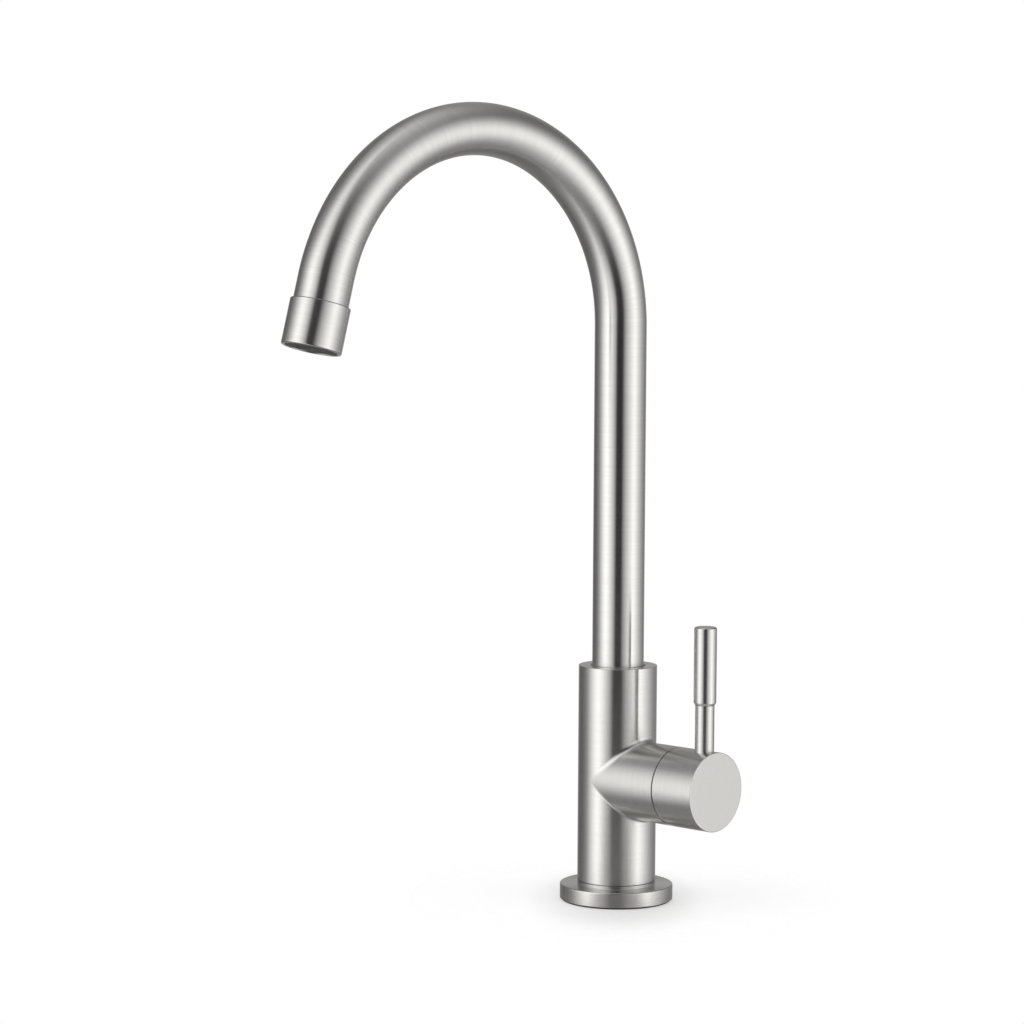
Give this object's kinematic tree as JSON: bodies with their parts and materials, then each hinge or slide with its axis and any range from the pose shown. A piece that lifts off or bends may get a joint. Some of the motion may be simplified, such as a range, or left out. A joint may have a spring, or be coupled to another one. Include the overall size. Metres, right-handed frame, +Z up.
{
  "type": "gooseneck bar faucet",
  "caption": "Brushed steel single-hole bar faucet with a tall swivelling gooseneck spout, a side hub and an upright lever that turns and tilts.",
  "frame": {"origin": "centre of the base's underside, on the deck", "axes": "+Z up along the column; the lever's boss points along +X; the spout reaches towards -Y, swung 4.3 degrees towards -X as in the picture"},
  "size_m": [0.0909, 0.2295, 0.3835],
  "materials": {
    "brushed_stainless": "fine circumferential brushing, satin",
    "brass": "machined",
    "black_rubber": "matte",
    "white_plastic": "matte",
    "grey_plastic": "matte",
    "white_ceramic": "lapped alumina ceramic",
    "steel_fittings": "bright turned steel",
    "screen_mesh": "dull, etched"
  },
  "bodies": {
    "base": {"body_shell": "brushed_stainless", "base_flange": "brushed_stainless", "base_seal": "black_rubber", "valve_core": "brass", "spout_bush": "white_plastic", "port_seals": "black_rubber", "cartridge_base": "white_plastic", "cartridge_housing": "white_plastic", "fixed_disc": "white_ceramic", "cartridge_nut": "brass", "cartridge_shroud": "brushed_stainless"},
    "spout": {"spout_tube": "brushed_stainless", "spout_nipple": "brass", "spout_seals": "black_rubber", "spout_nut": "brass", "outlet_adaptor": "brass", "aerator_cap": "brushed_stainless", "aerator_washer": "black_rubber", "aerator_insert": "white_plastic", "aerator_screen": "screen_mesh"},
    "guide": {"stem_guide": "grey_plastic"},
    "disc": {"disc_carrier": "grey_plastic", "moving_disc": "white_ceramic"},
    "lever": {"stem": "brass", "pivot_pin": "steel_fittings", "handle_hub": "brushed_stainless", "hub_screw": "steel_fittings", "lever_rod": "brushed_stainless", "lever_grip": "brushed_stainless"}
  },
  "joints": [
    {"name": "spout_swivel", "type": "hinge", "parent": "base", "child": "spout", "pos_m": [0, 0, 0.1], "axis": [0, 0, 1], "continuous": true},
    {"name": "temperature_turn", "type": "hinge", "parent": "base", "child": "guide", "pos_m": [0.03, 0, 0.06], "axis": [1, 0, 0], "range_deg": [-50, 50]},
    {"name": "lever_lift", "type": "hinge", "parent": "guide", "child": "lever", "pos_m": [0.03, 0, 0.06], "axis": [0, 1, 0], "range_deg": [0, 10]},
    {"name": "disc_slide", "type": "slide", "parent": "guide", "child": "disc", "axis": [0, 0, 1], "range_m": [0, 0.001]}
  ],
  "couplings": [
    {"joint": "disc_slide", "follows": "lever_lift", "m_per_rad": 0.0054}
  ]
}
